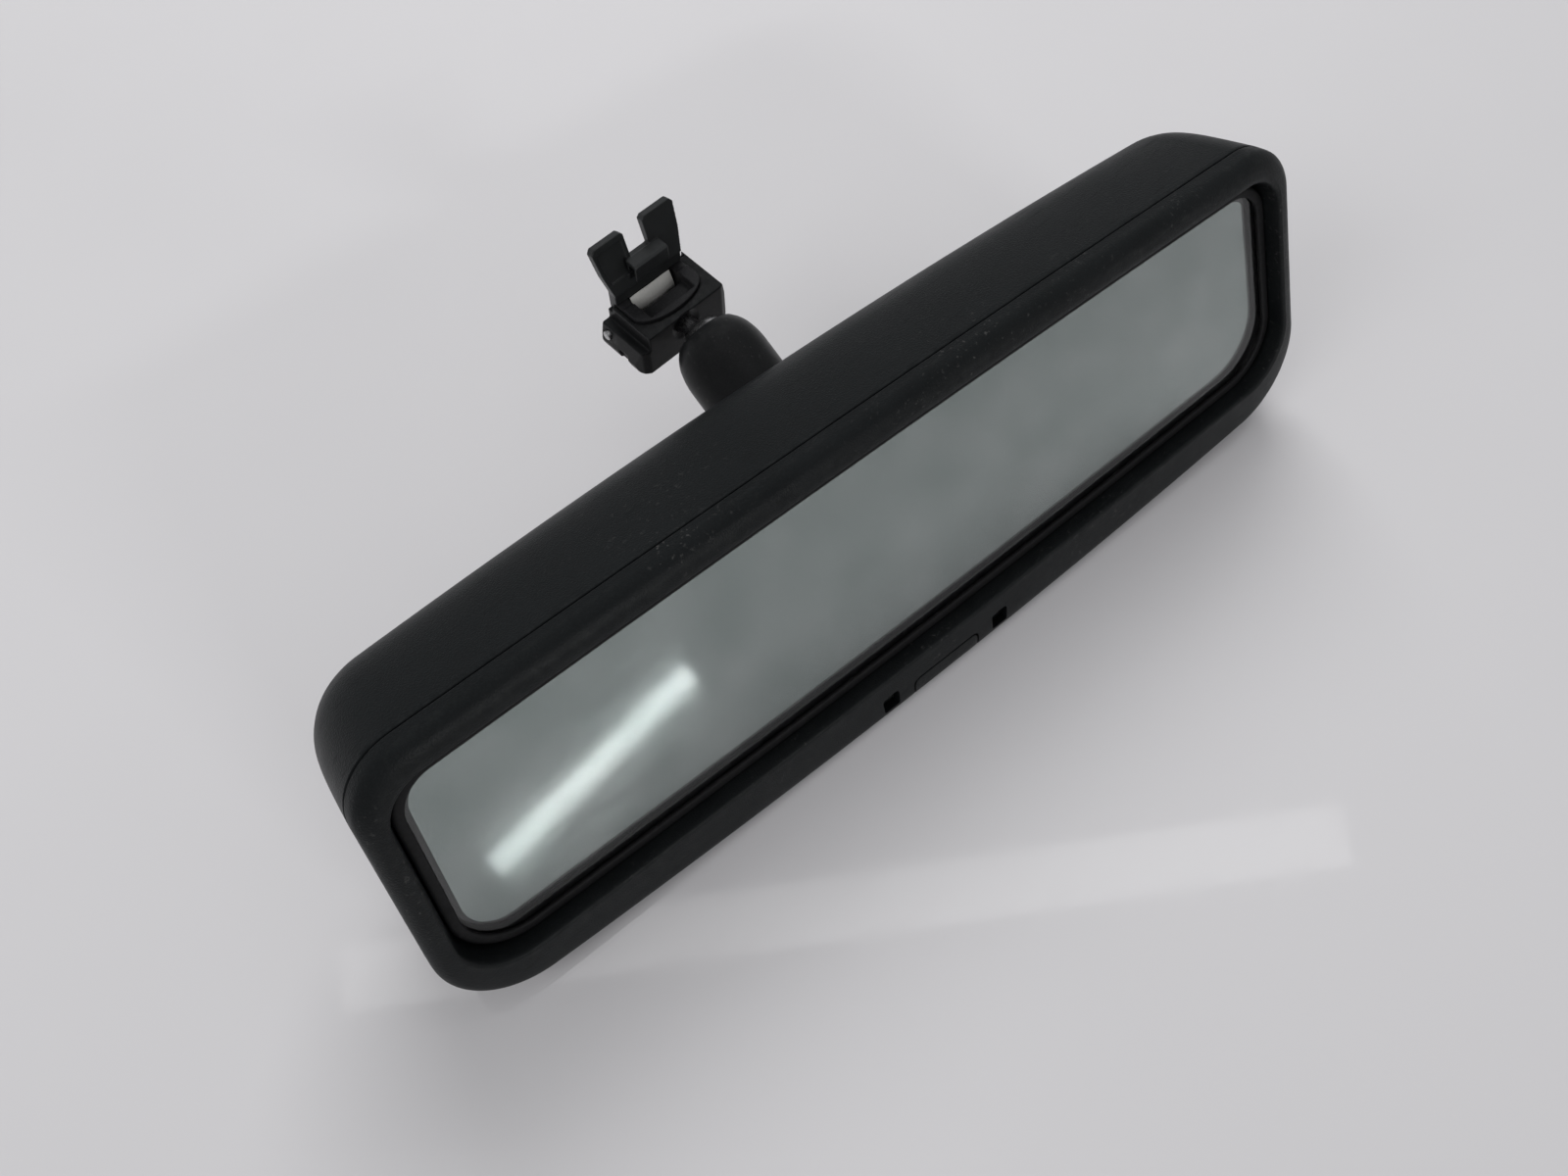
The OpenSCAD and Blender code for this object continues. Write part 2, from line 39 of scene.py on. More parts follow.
# ---------------------------------------------------------------- places in the row frame
YAW, RISE, TILT, STUD = (math.radians(a) for a in (-5.5, 19.5, -21.4, 20.5))
ARM = 34.5
BALL_FOOT = Vector((0, -19, -4.6))
M_ROW = Matrix.Scale(MM, 4)
M_YAW = M_ROW @ Matrix.Translation(BALL_FOOT) @ Matrix.Rotation(YAW, 4, "Z")
# arm: origin in the foot ball, +Z along the tube towards the foot
M_ARM = M_YAW @ Matrix.Rotation(RISE - math.pi / 2, 4, "X")
# head: origin in the middle of the glass's front, Y into the head, Z up the glass
M_HEAD = (M_YAW @ Matrix.Translation((0, -ARM * math.cos(RISE), -ARM * math.sin(RISE)))
          @ Matrix.Rotation(TILT, 4, "X") @ Matrix.Translation((0, -34, -2.5)))
M_STUD = M_HEAD @ Matrix.Translation((0, 34, 2.5)) @ Matrix.Rotation(math.pi / 2 + STUD, 4, "X")


# ---------------------------------------------------------------- materials
def material(name):
    m = bpy.data.materials.new(name)
    m.use_nodes = True
    nt = m.node_tree
    for n in list(nt.nodes):
        nt.nodes.remove(n)
    out = nt.nodes.new("ShaderNodeOutputMaterial")
    sh = nt.nodes.new("ShaderNodeBsdfPrincipled")
    nt.links.new(sh.outputs[0], out.inputs[0])
    return m, nt, sh


def node(nt, kind, **props):
    n = nt.nodes.new("ShaderNode" + kind)
    for k, v in props.items():
        if k in n.inputs:
            n.inputs[k].default_value = v
        else:
            setattr(n, k, v)
    return n


def tex(nt, scale, detail=4.0, rough=0.55, kind="Noise", stretch=None):
    """A noise or cell pattern in object space; scale is in patterns a metre."""
    co = node(nt, "TexCoord").outputs["Object"]
    if stretch:
        mp = node(nt, "Mapping")
        mp.inputs["Scale"].default_value = stretch
        nt.links.new(co, mp.inputs[0])
        co = mp.outputs[0]
    if kind == "Noise":
        n = node(nt, "TexNoise", Scale=scale, Detail=detail, Roughness=rough)
        nt.links.new(co, n.inputs["Vector"])
        return n.outputs[0]
    n = node(nt, "TexVoronoi", Scale=scale)
    nt.links.new(co, n.inputs["Vector"])
    return n.outputs["Distance"]


def ramp(nt, src, lo, hi, a, b):
    """src between lo and hi, spread over the values a to b."""
    n = node(nt, "MapRange")
    n.inputs["From Min"].default_value = lo
    n.inputs["From Max"].default_value = hi
    n.inputs["To Min"].default_value = a
    n.inputs["To Max"].default_value = b
    nt.links.new(src, n.inputs["Value"])
    return n.outputs[0]


def math_node(nt, op, a, b):
    n = node(nt, "Math", operation=op)
    for i, v in enumerate((a, b)):
        if isinstance(v, (int, float)):
            n.inputs[i].default_value = v
        else:
            nt.links.new(v, n.inputs[i])
    return n.outputs[0]


def mix(nt, fac, a, b):
    n = node(nt, "Mix", data_type="RGBA")
    if isinstance(fac, (int, float)):
        n.inputs[0].default_value = fac
    else:
        nt.links.new(fac, n.inputs[0])
    for i, v in ((6, a), (7, b)):
        if isinstance(v, tuple):
            n.inputs[i].default_value = (*v, 1)
        else:
            nt.links.new(v, n.inputs[i])
    return n.outputs[2]


def bump(nt, sh, *layers):
    """layers: (height socket, distance in metres)."""
    prev = None
    for h, d in layers:
        b = node(nt, "Bump", Strength=1.0, Distance=d)
        nt.links.new(h, b.inputs["Height"])
        if prev:
            nt.links.new(prev, b.inputs["Normal"])
        prev = b.outputs[0]
    nt.links.new(prev, sh.inputs["Normal"])


def plastic(name, dark, light, rough=(0.42, 0.6), grain=2600, depth=0.00006, wear_and_highlight=None, dust=0.0, spec=0.14):
    """Moulded plastic or paint: fine pebbled grain, soft mottling, scuffs, and lighter marks where the mesh has a
    mask attribute: rubbed edges, and on the bezel's top edge also a painted highlight."""
    m, nt, sh = material(name)
    cloud = tex(nt, 55, 5, 0.6)
    col = mix(nt, ramp(nt, cloud, 0.35, 0.7, 0, 1), dark, light)
    fine = tex(nt, grain, 2, 0.5)
    col = mix(nt, ramp(nt, fine, 0.45, 0.75, 0, 0.35), col, tuple(min(1, c * 1.9) for c in light))
    r = ramp(nt, cloud, 0.3, 0.7, rough[0], rough[1])
    scuff = tex(nt, 90, 6, 0.7, stretch=(1, 9, 3))
    r = math_node(nt, "ADD", r, ramp(nt, scuff, 0.56, 0.72, 0, 0.12))
    if dust:
        speck = tex(nt, 900, 2, 0.6)
        patch = tex(nt, 30, 3, 0.6)
        k = math_node(nt, "MULTIPLY", ramp(nt, speck, 0.62, 0.72, 0, 1), ramp(nt, patch, 0.45, 0.65, 0, dust))
        col = mix(nt, k, col, (0.16, 0.155, 0.15))
    if wear_and_highlight:
        at = node(nt, "Attribute", attribute_name="wear_and_highlight")
        w = math_node(nt, "MULTIPLY", at.outputs["Fac"], ramp(nt, tex(nt, 420, 5, 0.75), 0.42, 0.66, 0, 1))
        w2 = math_node(nt, "MULTIPLY", w, ramp(nt, tex(nt, 40, 3, 0.6), 0.3, 0.65, 0.25, 1))
        col = mix(nt, w2, col, wear_and_highlight)
        r = math_node(nt, "ADD", r, math_node(nt, "MULTIPLY", w2, -0.08))
    nt.links.new(col, sh.inputs["Base Color"])
    nt.links.new(r, sh.inputs["Roughness"])
    sh.inputs["Specular IOR Level"].default_value = spec
    pebble = tex(nt, grain, kind="Voronoi")
    bump(nt, sh, (pebble, depth), (fine, depth * 0.6))
    return m


def metal(name, base, tint, rough=(0.25, 0.45), scratch=(1, 1, 14), grain=900, depth=0.00002, worn=0.4,
          metallic=1.0):
    m, nt, sh = material(name)
    cloud = tex(nt, 140, 5, 0.65)
    lines = tex(nt, grain, 3, 0.6, stretch=scratch)
    col = mix(nt, ramp(nt, cloud, 0.35, 0.7, 0, 1), base, tint)
    col = mix(nt, ramp(nt, lines, 0.5, 0.7, 0, worn), col, tuple(c * 0.6 for c in base))
    nt.links.new(col, sh.inputs["Base Color"])
    sh.inputs["Metallic"].default_value = metallic
    r = ramp(nt, lines, 0.35, 0.7, rough[0], rough[1])
    nt.links.new(r, sh.inputs["Roughness"])
    bump(nt, sh, (lines, depth))
    return m


def mirror_material():
    m, nt, sh = material("mirror_coating")
    smear = tex(nt, 9, 4, 0.6, stretch=(1, 1, 1.6))
    spots = tex(nt, 1500, 2, 0.6)
    col = mix(nt, ramp(nt, smear, 0.35, 0.7, 0, 1), (0.27, 0.3, 0.29), (0.255, 0.283, 0.273))
    col = mix(nt, ramp(nt, spots, 0.735, 0.76, 0, 0.5), col, (0.12, 0.125, 0.12))
    nt.links.new(col, sh.inputs["Base Color"])
    sh.inputs["Metallic"].default_value = 1.0
    nt.links.new(ramp(nt, smear, 0.35, 0.7, 0.01, 0.025), sh.inputs["Roughness"])
    return m


MAT = {
    "housing": plastic("housing_grain", (0.0052, 0.0062, 0.0066), (0.0075, 0.0088, 0.0094), (0.38, 0.48),
                       grain=2900, depth=0.00005, wear_and_highlight=(0.035, 0.037, 0.038), dust=0.12),
    # bezel: its lighter mark colour serves rubbed edges and, along the top edge, a painted highlight
    "bezel": plastic("bezel_grain", (0.0048, 0.0058, 0.0062), (0.007, 0.0082, 0.0088), (0.38, 0.5),
                     grain=2900, depth=0.00005, wear_and_highlight=(0.03, 0.032, 0.031), dust=0.3),
    "button": plastic("button_grain", (0.005, 0.006, 0.0064), (0.0072, 0.0084, 0.009), (0.38, 0.48),
                      grain=2900, depth=0.00005, wear_and_highlight=(0.035, 0.036, 0.036)),
    "inner": plastic("inner_plastic", (0.012, 0.012, 0.013), (0.018, 0.018, 0.019), (0.3, 0.45), grain=1500,
                     depth=0.00003),
    "rubber": plastic("rubber_lip", (0.006, 0.006, 0.0065), (0.009, 0.009, 0.0095), (0.45, 0.65), grain=900,
                      depth=0.00001),
    "arm": plastic("arm_paint", (0.006, 0.0064, 0.0068), (0.009, 0.0095, 0.01), (0.3, 0.4), grain=3400,
                   depth=0.000012, wear_and_highlight=(0.08, 0.08, 0.08), dust=0.15),
    "foot": plastic("foot_paint", (0.0058, 0.0062, 0.0066), (0.0085, 0.009, 0.0095), (0.28, 0.4), grain=3400,
                    depth=0.000012, wear_and_highlight=(0.12, 0.12, 0.12), dust=0.1),
    "cup": plastic("nylon_cup", (0.55, 0.54, 0.48), (0.62, 0.61, 0.55), (0.3, 0.4), grain=1200, depth=0.00002),
    "board": plastic("solder_mask", (0.01, 0.075, 0.03), (0.015, 0.1, 0.04), (0.2, 0.35), grain=700, depth=0.00003),
    "latch": metal("black_sheet", (0.02, 0.0215, 0.022), (0.028, 0.03, 0.031), (0.32, 0.48), worn=0.3,
                   metallic=0.3),
    "bright": metal("bare_sheet", (0.74, 0.735, 0.70), (0.82, 0.815, 0.78), (0.38, 0.55), scratch=(3, 1, 1),
                    worn=0.15, metallic=0.35),
    "steel": metal("zinc_steel", (0.5, 0.5, 0.51), (0.6, 0.6, 0.6), (0.22, 0.4)),
    "cast": metal("cast_zinc", (0.42, 0.42, 0.43), (0.5, 0.5, 0.5), (0.4, 0.6), scratch=(1, 1, 1), grain=500,
                  depth=0.0001),
    "mirror": mirror_material(),
}


def glass_like(name, color, rough, weight, ior=1.45):
    m, nt, sh = material(name)
    c = tex(nt, 60, 3, 0.5)
    col = mix(nt, ramp(nt, c, 0.3, 0.7, 0, 1), color, tuple(min(1, v * 1.15) for v in color))
    nt.links.new(col, sh.inputs["Base Color"])
    sh.inputs["Transmission Weight"].default_value = weight
    sh.inputs["IOR"].default_value = ior
    nt.links.new(ramp(nt, tex(nt, 200, 3, 0.5), 0.3, 0.7, rough * 0.6, rough * 1.4), sh.inputs["Roughness"])
    return m


MAT["pane"] = glass_like("tinted_pane", (0.86, 0.892, 0.885), 0.0, 1.0)
MAT["lens"] = glass_like("smoked_lens", (0.006, 0.006, 0.007), 0.12, 0.3)
MAT["led"] = glass_like("light_pipe", (0.012, 0.014, 0.013), 0.2, 0.4)


# ---------------------------------------------------------------- mesh helpers
def make(name, verts, faces, mat, matrix=M_ROW, body=None, nodes=(), slot=None, smooth=True):
    """A mesh object from points in mm in the given frame, riding on its body and standing for its CAD nodes."""
    me = bpy.data.meshes.new(name)
    me.from_pydata([tuple(matrix @ Vector(v)) for v in verts], [], faces)
    me.validate()
    o = bpy.data.objects.new(name, me)
    scene.collection.objects.link(o)
    bm = bmesh.new()
    bm.from_mesh(me)
    bmesh.ops.recalc_face_normals(bm, faces=bm.faces)
    bm.to_mesh(me)
    bm.free()
    for p in me.polygons:
        p.use_smooth = smooth
    me.materials.append(MAT[mat] if isinstance(mat, str) else mat)
    if body:
        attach(o, body)
    if nodes:
        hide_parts(*nodes)
    return o


def rings_mesh(rings, loop=False):
    """Rings of equal length joined into a skin: loop joins the last to the first, otherwise a fan closes each
    end."""
    n, k = len(rings[0]), len(rings)
    verts = [tuple(p) for r in rings for p in r]
    faces = []
    for j in range(k if loop else k - 1):
        m = ((j + 1) % k) * n
        for i in range(n):
            i2 = (i + 1) % n
            faces.append((j * n + i, j * n + i2, m + i2, m + i))
    if not loop:
        for j in (0, k - 1):
            c = [sum(p[a] for p in rings[j]) / n for a in range(3)]
            verts.append(tuple(c))
            for i in range(n):
                faces.append((j * n + i, j * n + (i + 1) % n, len(verts) - 1))
    return verts, faces


def apply_mods(o):
    dg = bpy.context.evaluated_depsgraph_get()
    me = bpy.data.meshes.new_from_object(o.evaluated_get(dg))
    o.modifiers.clear()
    old = o.data
    o.data = me
    bpy.data.meshes.remove(old)


def boolean(o, tools, op="DIFFERENCE"):
    """Cuts the tools from the piece, or joins or intersects them with it, and removes them."""
    for t in tools:
        md = o.modifiers.new("b", "BOOLEAN")
        md.operation = op
        md.solver = "EXACT"
        md.object = t
    apply_mods(o)
    for t in tools:
        bpy.data.objects.remove(t, do_unlink=True)


def soften(o, width, segments=2, angle=30):
    """A small bevel, width in mm, on every edge sharper than the angle."""
    md = o.modifiers.new("edge", "BEVEL")
    md.width = width * MM
    md.segments = segments
    md.limit_method = "ANGLE"
    md.angle_limit = math.radians(angle)
    md.harden_normals = False
    apply_mods(o)
    sharp(o)


def sharp(o, angle=38):
    """Smooth shading with hard edges kept over the angle."""
    me = o.data
    bm = bmesh.new()
    bm.from_mesh(me)
    for e in bm.edges:
        if len(e.link_faces) == 2:
            e.smooth = e.calc_face_angle(0) < math.radians(angle)
    for f in bm.faces:
        f.smooth = True
    bm.to_mesh(me)
    bm.free()


def prism(name, pts, lo, hi, axis, mat, **kw):
    """A flat outline thickened along an axis of its matrix. pts are the two other coordinates in order."""
    def put(p, t):
        return {"X": (t, p[0], p[1]), "Y": (p[0], t, p[1]), "Z": (p[0], p[1], t)}[axis]
    n = len(pts)
    verts = [put(p, lo) for p in pts] + [put(p, hi) for p in pts]
    faces = [tuple(range(n)), tuple(range(2 * n - 1, n - 1, -1))]
    faces += [(i, (i + 1) % n, n + (i + 1) % n, n + i) for i in range(n)]
    return make(name, verts, faces, mat, **kw)


def rounded(pts, r, seg=5):
    """The outline with each corner rounded by r (a number, or one for each corner)."""
    out = []
    n = len(pts)
    for i in range(n):
        p0, p, p1 = (Vector(pts[(i + d) % n]) for d in (-1, 0, 1))
        rr = r[i] if isinstance(r, (list, tuple)) else r
        a, b = (p0 - p), (p1 - p)
        la, lb = a.length, b.length
        if rr <= 0 or la < 1e-6 or lb < 1e-6:
            out.append(tuple(p))
            continue
        a.normalize()
        b.normalize()
        half = a.angle(b) / 2
        d = min(rr / max(math.tan(half), 1e-3), la * 0.49, lb * 0.49)
        for s in range(seg + 1):
            t = s / seg
            q = (p + a * d) * (1 - t) ** 2 + p * 2 * t * (1 - t) + (p + b * d) * t * t
            out.append(tuple(q))
    return out


def lathe(name, prof, mat, seg=96, **kw):
    """prof: (radius, z) from one end to the other; radius 0 closes the end."""
    verts, faces, rows = [], [], []
    for r, z in prof:
        if r < 1e-6:
            rows.append([len(verts)])
            verts.append((0, 0, z))
        else:
            rows.append(list(range(len(verts), len(verts) + seg)))
            verts += [(r * math.cos(a), r * math.sin(a), z) for a in (2 * math.pi * i / seg for i in range(seg))]
    for a, b in zip(rows, rows[1:]):
        for i in range(seg):
            i2 = (i + 1) % seg
            if len(a) == 1 and len(b) == 1:
                continue
            if len(a) == 1:
                faces.append((a[0], b[i], b[i2]))
            elif len(b) == 1:
                faces.append((a[i], a[i2], b[0]))
            else:
                faces.append((a[i], a[i2], b[i2], b[i]))
    return make(name, verts, faces, mat, **kw)


# ---------------------------------------------------------------- head outline
LEAN = 0.136        # how far the ends lean, as a slope
CROWN = 0.00001     # how much the back falls away towards the ends, for each square mm of half width
RIM_Y = 1.8         # the parting line, where the crown starts


def outline(o, nc=26, ne=34):
    """o: y, half width, top, bottom, top corner r, bottom corner r, top bow, bottom bow. Clockwise from the top
    middle."""
    y, hw, zt, zb, rt, rb, bt, bb = o
    an = math.atan(LEAN)
    b1, b2 = math.atan(2 * bt / (hw - rt)), math.atan(2 * bb / (hw - rb))
    zc = zt - bt - rt * math.cos(b1)
    xc = hw - LEAN * (zc + rt * math.sin(an)) - rt * math.cos(an)
    zl = zb + bb + rb * math.cos(b2)
    xl = hw - LEAN * (zl + rb * math.sin(an)) - rb * math.cos(an)
    xt, xb = xc + rt * math.sin(b1), xl + rb * math.sin(b2)
    h = [(xt * i / ne, zt - bt * (i / ne) ** 2) for i in range(1, ne)]
    for i in range(nc + 1):
        a = math.pi / 2 - b1 + (an - math.pi / 2 + b1) * i / nc
        h.append((xc + rt * math.cos(a), zc + rt * math.sin(a)))
    s0, s1 = h[-1], (xl + rb * math.cos(an), zl + rb * math.sin(an))
    for i in range(1, 10):
        h.append(tuple(s0[k] + (s1[k] - s0[k]) * i / 10 for k in (0, 1)))
    for i in range(nc + 1):
        a = an + (b2 - math.pi / 2 - an) * i / nc
        h.append((xl + rb * math.cos(a), zl + rb * math.sin(a)))
    h += [(xb * (1 - i / ne), zb + bb * (1 - i / ne) ** 2) for i in range(1, ne)]
    return [(0, zt)] + h + [(0, zb)] + [(-x, z) for x, z in reversed(h)]


def level(o):
    """The outline's points in space, with the back's crown."""
    y = o[0]
    return [(x, y if y <= RIM_Y else RIM_Y + (y - RIM_Y) * (1 - CROWN * x * x), z) for x, z in outline(o)]


def spline(rows, steps):
    """Catmull-Rom through the rows, with straight ends."""
    out = []
    for i in range(len(rows) - 1):
        a, b = rows[i], rows[i + 1]
        p = rows[i - 1] if i > 0 else [2 * u - v for u, v in zip(a, b)]
        q = rows[i + 2] if i + 2 < len(rows) else [2 * v - u for u, v in zip(a, b)]
        for s in range(steps):
            t = s / steps
            out.append([0.5 * (2 * b0 + (c - a0) * t + (2 * a0 - 5 * b0 + 4 * c - d) * t * t
                               + (3 * b0 - a0 - 3 * c + d) * t ** 3) for a0, b0, c, d in zip(p, a, b, q)])
    return out + [list(rows[-1])]


def grow(o, d, y=None):
    """The row's outline offset by d, and moved to y where one is given."""
    return [o[0] if y is None else y, o[1] + d, o[2] + d, o[3] - d, o[4] + d, o[5] + d, o[6], o[7]]


# ---------------------------------------------------------------- materials of the CAD nodes
LOOK = {"rear_housing": "housing", "bezel": "bezel", "glass_gasket": "rubber", "cell_seal": "rubber",
        "rear_glass": "mirror", "front_glass": "mirror", "glass_carrier": "inner", "circuit_board": "board",
        "connector_socket": "inner", "ambient_sensor": "lens", "control_board": "board", "tact_switch": "steel",
        "switch_plunger": "rubber", "dimming_button": "button", "status_light": "led", "glare_sensor": "lens",
        "ball_bracket": "cast", "bracket_screw_1": "steel", "bracket_screw_2": "steel", "bracket_screw_3": "steel",
        "bracket_screw_4": "steel", "head_ball_stud": "steel", "stud_nut": "steel", "cup_head": "cup",
        "stem_tube": "arm", "stem_spring": "steel", "cup_foot": "cup", "foot_ball_stud": "steel",
        "foot_body": "foot", "foot_insert": "inner", "latch_plate": "latch", "leaf_spring": "bright",
        "spring_pin": "steel", "insert_screw": "steel"}
for n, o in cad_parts.items():
    o.data.materials.clear()
    o.data.materials.append(MAT[LOOK[n]])

# ---------------------------------------------------------------- head: shell and bezel
HW, TOP, CHIN, DEPTH = 124.8, 37.3, 44.5, 41.0
TIGHT = -0.05       # the visual skin lies this far inside the CAD solids
SHELL = [[1.8, HW, TOP, -CHIN + 1.0, 15, 20, 0.9, 3.8], [10, HW - 0.2, TOP - 0.1, -CHIN + 4.4, 15.3, 19, 0.9, 3.2],
         [18, HW - 0.55, TOP - 0.4, -CHIN + 7.7, 15.3, 18, 0.9, 2.7],
         [24, HW - 1.15, TOP - 1.0, -CHIN + 10.4, 15.3, 17, 0.9, 2.3],
         [28, HW - 2.1, TOP - 2.1, -CHIN + 12.5, 15, 16, 0.8, 2],
         [31, HW - 3.2, TOP - 3.6, -CHIN + 14.4, 14.5, 15, 0.7, 1.7],
         [33.5, HW - 5.2, TOP - 5.6, -CHIN + 16.5, 13.7, 14, 0.6, 1.4],
         [36, HW - 8.7, TOP - 9.1, -CHIN + 19.3, 12.7, 13, 0.5, 1.1],
         [38.2, HW - 13, TOP - 13.2, -CHIN + 22.9, 11.5, 12, 0.4, 0.8],
         [DEPTH - 1.2, HW - 18.5, TOP - 18, -CHIN + 27.4, 9.5, 10, 0.3, 0.5],
         [DEPTH - 0.2, HW - 26, TOP - 24.5, -CHIN + 33.4, 7.5, 8, 0.2, 0.3],
         [DEPTH + 0.2, HW - 36, TOP - 31, -CHIN + 40, 4, 4, 0.1, 0.1]]


def cap_rings(o, bulge):
    """Rings that shrink the last level to a line along its middle, following the crown."""
    ring = level(o)
    zs = [p[2] for p in ring]
    zm = (max(zs) + min(zs)) / 2
    out = []
    for t in (0.72, 0.42, 0.16, 0.02):
        q = []
        for x, y, z in ring:
            x2 = x * (0.45 + 0.55 * t)
            y2 = RIM_Y + (o[0] - RIM_Y) * (1 - CROWN * x2 * x2) + bulge * (1 - t * t)
            q.append((x2, y2, zm + (z - zm) * t))
        out.append(q)
    return out


outer = [grow(r, TIGHT) for r in spline(SHELL, 6)]
inner = [grow(r, -1.9, r[0] - 1.4 * max(0, (r[0] - RIM_Y) / 39)) for r in spline(SHELL[:11], 3)]
inner[0][0] = 2.0
o_rings = [level(grow(outer[0], -0.45, RIM_Y)), level(grow(outer[0], -0.16, 1.88)), level(grow(outer[0], 0, 2.1))]
o_rings += [level(r) for r in outer[1:]] + cap_rings(outer[-1], -0.02)
i_rings = [level(r) for r in reversed(inner)]
i_rings = list(reversed(cap_rings(inner[-1], -0.05))) + i_rings
verts, faces = rings_mesh(i_rings + o_rings)
shell = make("rear_shell", verts, faces, "housing", M_HEAD)


def head_prism(name, pts, lo, hi):
    return prism(name, pts, lo, hi, "Y", "inner", matrix=M_HEAD)


def stadium(r, z0, z1, seg=40):
    """A slot's outline: half circles round two centres, joined by straight sides."""
    half = [math.pi * i / seg for i in range(seg + 1)]
    return ([(r * math.cos(a), z1 + r * math.sin(a)) for a in half]
            + [(r * math.cos(math.pi + a), z0 + r * math.sin(math.pi + a)) for a in half])


port = rounded([(-46.1, -0.1), (-29.9, -0.1), (-29.9, 9.1), (-46.1, 9.1)], 0.6)
eye = [(34 + 3.55 * math.cos(a), 10 + 3.55 * math.sin(a)) for a in (2 * math.pi * i / 40 for i in range(40))]
boolean(shell, [head_prism("c1", stadium(15, 1.5, 12.5), 25, 46), head_prism("c2", port, 30, 46),
                head_prism("c3", eye, 30, 46)])
sharp(shell, 42)
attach(shell, "head")
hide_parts("rear_housing")


def near(v, at, width):
    """1 where v is at the place, falling off over the width."""
    return math.exp(-((v - at) / width) ** 2)


def wear_and_highlight_on(o, matrix, fn):
    """Writes the mark mask of every point from its place in the given frame, in mm; the marks are rubbed edges
    and, on the bezel's top edge, a painted highlight.
    """
    me = o.data
    inv = matrix.inverted()
    at = me.attributes.get("wear_and_highlight") or me.attributes.new("wear_and_highlight", "FLOAT", "POINT")
    for i, v in enumerate(me.vertices):
        at.data[i].value = max(0.0, min(1.0, fn(inv @ v.co)))


wear_and_highlight_on(shell, M_HEAD, lambda p: 0.35 * near(p.y, 2.1, 0.3))

# bezel: from the parting line over the front lip to the glass opening, then back inside
BEZEL = [[1.5, HW, TOP, -CHIN + 0.9, 15, 20, 0.9, 3.8], [-1.2, HW - 0.1, TOP - 0.1, -CHIN, 15, 20, 0.9, 4.1],
         [-2.5, HW - 0.6, TOP - 0.5, -CHIN + 0.2, 14.8, 19.6, 0.9, 4.1],
         [-3.5, HW - 1.6, TOP - 1.4, -CHIN + 2.1, 14.2, 18.6, 0.9, 3.6],
         [-4.1, HW - 2.8, TOP - 2.5, -CHIN + 6.7, 13.4, 16.6, 0.9, 2.8],
         [-4.4, HW - 4.2, TOP - 3.8, -CHIN + 11, 12.2, 14.6, 0.9, 2.2],
         [-4.4, HW - 4.9, TOP - 5.6, -CHIN + 12.7, 11.4, 13.6, 0.9, 2],
         [-3.6, HW - 5.5, TOP - 6.6, -CHIN + 13.3, 11, 13.2, 0.9, 2],
         [-0.4, HW - 5.9, TOP - 7.1, -CHIN + 13.6, 10.6, 13, 0.9, 2]]
back = [[5.0, HW - 5.9, TOP - 7.1, -CHIN + 13.6, 10.6, 13, 0.9, 2],
        [5.0, HW - 4.5, TOP - 5.7, -CHIN + 12.2, 12, 14.4, 0.9, 2],
        [-1.5, HW - 4.4, TOP - 5.4, -CHIN + 11.8, 12.2, 14.8, 0.9, 2],
        [-1.5, HW - 2.2, TOP - 2.6, -CHIN + 2.6, 13, 17.6, 0.9, 3.8],
        [1.5, HW - 1.95, TOP - 2.0, -CHIN + 2.9, 13.1, 18.1, 0.9, 3.8]]
front = [grow(r, TIGHT) for r in spline(BEZEL, 6)]
edge = [grow(front[0], -0.4, 1.5), grow(front[0], -0.14, 1.43), grow(front[0], 0, 1.25)]
b_rings = [level(r) for r in edge + front[1:] + back]
verts, faces = rings_mesh(b_rings, loop=True)
bezel = make("bezel_frame", verts, faces, "bezel", M_HEAD)
# chin: middle of the tab, its width, the slit round it, and the windows' distance and width
CX, TAB, GAP, WDX, WW = 2.5, 19.8, 0.5, 17.3, 5.0


def tab_outline(half, top, r, low=-CHIN - 3):
    return rounded([(CX - half, low), (CX + half, low), (CX + half, top), (CX - half, top)], [0, 0, r, r], 8)


def window(x):
    """The outline of the hole in front of a lens."""
    w, low, top = WW / 2, -CHIN + 2.3, -CHIN + 7.6
    return rounded([(x - w + 0.2, low), (x + w - 0.2, low), (x + w, top), (x - w, top)], [0.6, 0.6, 1.3, 1.3], 6)


button = bezel.copy()
button.data = bezel.data.copy()
button.name = "button_tab"
scene.collection.objects.link(button)
boolean(button, [head_prism("c4", tab_outline(TAB / 2, -CHIN + 5.7, 1.9), -8, 0.6)], "INTERSECT")
boolean(bezel, [head_prism("c5", tab_outline(TAB / 2 + GAP, -CHIN + 6.2, 2.3), -8, 3),
                head_prism("c6", window(CX - WDX), -8, 0.2), head_prism("c7", window(CX + WDX), -8, 0.2)])
sharp(bezel, 42)
sharp(button, 42)
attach(bezel, "head")
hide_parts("bezel")
# lighter marks on the bezel: rubbed front ridge and parting edge, and along the top edge a band that is partly
# rubbing and partly a painted highlight where the top ridge catches the light
wear_and_highlight_on(bezel, M_HEAD, lambda p: 0.3 * (near(p.z - 0.9 * p.y, 37.6, 0.5) * (p.z > 20 and p.y < 0)
                                        + near(p.y, -4.4, 0.25) + near(p.y, 1.35, 0.25)))

# inner face of the tab: a lever reaching up to the switch
lever = prism("button_lever", rounded([(CX - 3, -CHIN + 4), (CX + 3, -CHIN + 4), (CX + 3, -34.6), (CX - 3, -34.6)],
                                      [0, 0, 0.8, 0.8]), -1.4, -0.4, "Y", "inner", matrix=M_HEAD)
soften(lever, 0.15)
soften(button, 0.12, 2, 50)
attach(button, "button")
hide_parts("dimming_button")
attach(lever, "button")
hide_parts("dimming_button")
wear_and_highlight_on(button, M_HEAD, lambda p: 0.35 + 0.6 * near(abs(p.x - CX), TAB / 2, 0.5))

